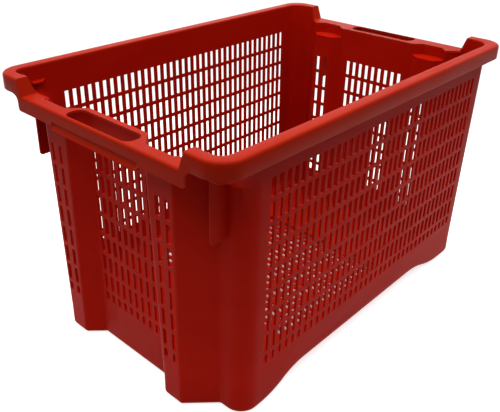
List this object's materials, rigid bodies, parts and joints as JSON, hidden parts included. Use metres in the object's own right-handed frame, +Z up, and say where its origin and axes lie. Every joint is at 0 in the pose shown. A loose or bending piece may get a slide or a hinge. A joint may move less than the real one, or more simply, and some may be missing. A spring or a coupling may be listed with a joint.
{
  "type": "harvest crate",
  "caption": "Open-topped perforated plastic crate with leaning slotted walls, stepped corner posts, a flanged rim and hand holes in its lowered ends; stacks when turned, nests when not.",
  "frame": {"origin": "on the ground under the middle of the crate's outline", "axes": "+X along the length towards the end with the inside pilasters, +Y towards the back long side, +Z up"},
  "size_m": [0.6, 0.4, 0.357],
  "materials": {
    "red_plastic": "satin moulded polypropylene, orange-red"
  },
  "bodies": {
    "root": {"far_corner_back": "red_plastic", "far_corner_front": "red_plastic", "far_gusset_back": "red_plastic", "far_gusset_front": "red_plastic", "far_panel": "red_plastic", "far_pilaster_back": "red_plastic", "far_pilaster_front": "red_plastic", "far_pocket_back": "red_plastic", "far_pocket_front": "red_plastic", "far_return_back": "red_plastic", "far_return_front": "red_plastic", "far_seat_back": "red_plastic", "far_seat_front": "red_plastic", "far_slant_back": "red_plastic", "far_slant_front": "red_plastic", "floor_panel": "red_plastic", "floor_ramp_far": "red_plastic", "floor_ramp_near": "red_plastic", "foot_far": "red_plastic", "foot_near": "red_plastic", "long_wall_back": "red_plastic", "long_wall_front": "red_plastic", "near_collar_corner_back": "red_plastic", "near_collar_corner_front": "red_plastic", "near_collar_end_back": "red_plastic", "near_collar_end_front": "red_plastic", "near_corner_back": "red_plastic", "near_corner_front": "red_plastic", "near_gusset_back": "red_plastic", "near_gusset_front": "red_plastic", "near_ledge_back": "red_plastic", "near_ledge_front": "red_plastic", "near_panel": "red_plastic", "near_post_back": "red_plastic", "near_post_front": "red_plastic", "near_return_back": "red_plastic", "near_return_front": "red_plastic", "near_seat_back": "red_plastic", "near_seat_front": "red_plastic", "near_slant_back": "red_plastic", "near_slant_front": "red_plastic", "rim_back": "red_plastic", "rim_corner_far_back": "red_plastic", "rim_corner_far_front": "red_plastic", "rim_corner_near_back": "red_plastic", "rim_corner_near_front": "red_plastic", "rim_far": "red_plastic", "rim_front": "red_plastic", "rim_near": "red_plastic"}
  },
  "joints": []
}
